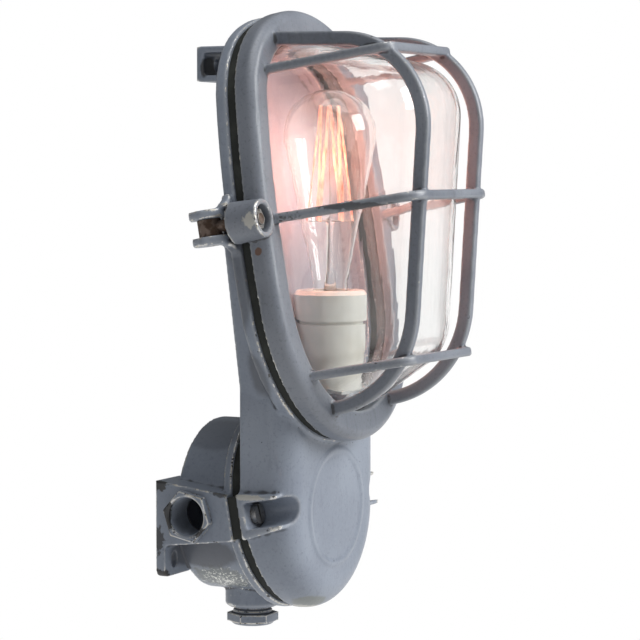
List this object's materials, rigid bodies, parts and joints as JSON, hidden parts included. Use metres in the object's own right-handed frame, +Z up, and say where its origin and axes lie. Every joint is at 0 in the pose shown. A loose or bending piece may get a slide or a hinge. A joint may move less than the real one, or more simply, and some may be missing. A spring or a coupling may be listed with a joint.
{
  "type": "wall light",
  "caption": "Industrial wall light: cast junction box, tilted oval lamp head with a hinged wire-like guard over a clear glass dome, clear filament bulb in a porcelain holder.",
  "frame": {"origin": "The middle of the raised seat on the junction box's back, on the axis of its round drum.", "axes": "+Z is up along the wall, the wall is the plane y = 0 and the light stands out from it towards -Y, +X is to the right as seen from in front of the light."},
  "size_m": [0.2388, 0.1925, 0.4344],
  "materials": {
    "grey_paint": "blue-grey gloss paint over cast metal, chipped and rubbed bright on its edges",
    "black_rubber": "matt black rubber, dusty",
    "steel": "dull steel with grime",
    "rusty_steel": "brown, lightly rusted steel",
    "brass": "dull brass",
    "porcelain": "glazed white porcelain",
    "wire_cover": "insulated wire, one black and one grey",
    "glowing_wire": "glowing filament wire",
    "clear_glass": "clear glass, slightly dusty"
  },
  "bodies": {
    "lamp": {"junction_box": "grey_paint", "box_gasket": "black_rubber", "conduit_bush": "grey_paint", "gland_nut": "grey_paint", "gland_washer": "steel", "gland_seal": "black_rubber", "terminal_block": "porcelain", "terminal_screws": "brass", "terminal_block_screws": "steel", "earth_screw": "brass", "earth_washer": "brass", "lamp_body": "grey_paint", "cover_screw_left": "steel", "cover_screw_right": "steel", "holder_bracket": "steel", "bracket_screws": "steel", "lampholder_base": "porcelain", "lampholder_collar": "porcelain", "lampholder_shell": "brass", "centre_contact": "brass", "holder_screws": "steel", "internal_wires": "wire_cover", "bulb_cap": "brass", "bulb_contact": "steel", "bulb_glass": "clear_glass", "bulb_stem": "clear_glass", "filament_supports": "steel", "filament": "glowing_wire", "hinge_pin": "steel"},
    "guard": {"guard_frame": "grey_paint", "glass_dome": "clear_glass", "glass_gasket": "black_rubber", "hinge_eyebolt": "rusty_steel", "hinge_washer": "steel", "hinge_nut": "steel", "closing_screw": "steel", "closing_washer": "steel"}
  },
  "joints": [
    {"name": "guard_hinge", "type": "hinge", "parent": "lamp", "child": "guard", "pos_m": [-0.105, -0.05958, 0.19881], "axis": [0, -0.1736, -0.9848], "range_deg": [0, 110]}
  ]
}
